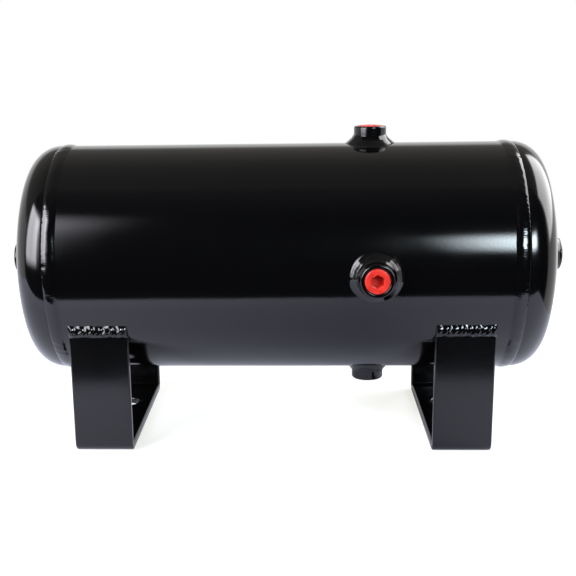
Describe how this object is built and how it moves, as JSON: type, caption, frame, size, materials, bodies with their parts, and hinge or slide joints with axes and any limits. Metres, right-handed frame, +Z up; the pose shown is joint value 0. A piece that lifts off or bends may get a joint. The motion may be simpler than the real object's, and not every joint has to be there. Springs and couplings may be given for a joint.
{
  "type": "air receiver tank",
  "caption": "Horizontal steel air receiver tank: rolled shell, dished heads, threaded weld bosses closed by hex-socket plugs, and bent flat-bar feet.",
  "frame": {"origin": "on the floor under the middle of the tank's box; the tank's axis lies 6.75 mm behind it, at 158.2 mm height", "axes": "+X along the tank towards the end nearer the side ports, +Z up, -Y towards the side with the front port"},
  "size_m": [0.4984, 0.2206, 0.2752],
  "materials": {
    "shell_paint": "gloss black powder coat over rolled steel",
    "head_paint": "gloss black powder coat over pressed steel",
    "weld_paint": "gloss black powder coat over rippled weld",
    "boss_paint": "gloss black powder coat over turned steel",
    "foot_paint": "gloss black powder coat over hot-rolled flat bar",
    "plug_plastic": "moulded red polyethylene"
  },
  "bodies": {
    "tank": {"shell": "shell_paint", "head_left": "head_paint", "head_right": "head_paint", "boss_top": "boss_paint", "boss_front": "boss_paint", "boss_bottom": "boss_paint", "boss_left": "boss_paint", "boss_right": "boss_paint", "foot_left": "foot_paint", "foot_right": "foot_paint", "shell_seam_weld": "weld_paint", "girth_weld_left": "weld_paint", "girth_weld_right": "weld_paint", "boss_weld_top": "weld_paint", "boss_weld_front": "weld_paint", "boss_weld_bottom": "weld_paint", "boss_weld_left": "weld_paint", "boss_weld_right": "weld_paint", "foot_weld_left_front": "weld_paint", "foot_weld_left_rear": "weld_paint", "foot_weld_right_front": "weld_paint", "foot_weld_right_rear": "weld_paint"},
    "plug_top": {"plug_top": "plug_plastic"},
    "plug_front": {"plug_front": "plug_plastic"},
    "plug_bottom": {"plug_bottom": "plug_plastic"},
    "plug_left": {"plug_left": "plug_plastic"},
    "plug_right": {"plug_right": "plug_plastic"}
  },
  "joints": [
    {"name": "plug_top_out", "type": "slide", "parent": "tank", "child": "plug_top", "axis": [0, 0, 1], "range_m": [0, 0.018]},
    {"name": "plug_front_out", "type": "slide", "parent": "tank", "child": "plug_front", "axis": [0, -1, 0], "range_m": [0, 0.018]},
    {"name": "plug_bottom_out", "type": "slide", "parent": "tank", "child": "plug_bottom", "axis": [0, 0, -1], "range_m": [0, 0.018]},
    {"name": "plug_left_out", "type": "slide", "parent": "tank", "child": "plug_left", "axis": [-1, 0, 0], "range_m": [0, 0.018]},
    {"name": "plug_right_out", "type": "slide", "parent": "tank", "child": "plug_right", "axis": [1, 0, 0], "range_m": [0, 0.018]}
  ]
}
